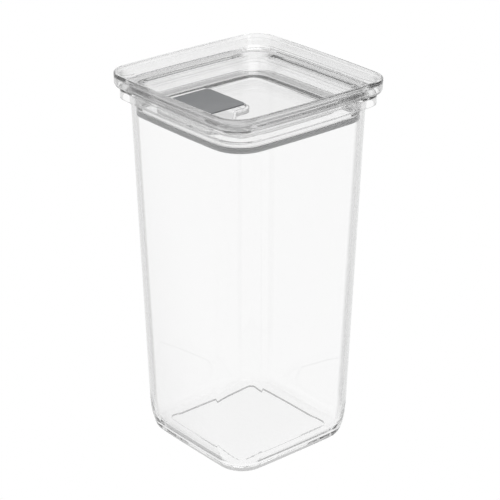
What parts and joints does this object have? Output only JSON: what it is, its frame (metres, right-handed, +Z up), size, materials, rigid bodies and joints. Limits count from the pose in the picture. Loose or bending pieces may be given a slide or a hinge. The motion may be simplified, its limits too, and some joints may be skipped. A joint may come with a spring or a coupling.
{
  "type": "lidded glass canister",
  "caption": "Square upright clear storage canister with a push-in lid, a grey gasket round the lid's skirt and a flip-up vent lever in its recessed top.",
  "frame": {"origin": "centre of the foot on the plane the canister stands on", "axes": "+Z up through the mouth, +X from the lever's hinge towards its free edge, +Y away from the corner of the lid that holds the lever"},
  "size_m": [0.114, 0.114, 0.2188],
  "materials": {
    "clear_vessel": "clear, polished inside and out",
    "clear_lid": "clear moulded plastic, polished",
    "gasket_silicone": "satin, slightly translucent grey silicone",
    "lever_plastic": "fine satin mid grey",
    "pin_steel": "drawn wire",
    "plug_silicone": "satin grey silicone"
  },
  "bodies": {
    "vessel": {"canister_body": "clear_vessel"},
    "lid": {"lid_shell": "clear_lid", "lid_gasket": "gasket_silicone", "lever_hinge_pin": "pin_steel"},
    "lever": {"vent_lever": "lever_plastic", "vent_plug": "plug_silicone"}
  },
  "joints": [
    {"name": "lid_lift", "type": "slide", "parent": "vessel", "child": "lid", "axis": [0, 0, 1], "range_m": [0, 0.06]},
    {"name": "lever_flip", "type": "hinge", "parent": "lid", "child": "lever", "pos_m": [-0.0314, -0.0173, 0.1999], "axis": [0, -1, 0], "range_deg": [0, 90]}
  ]
}
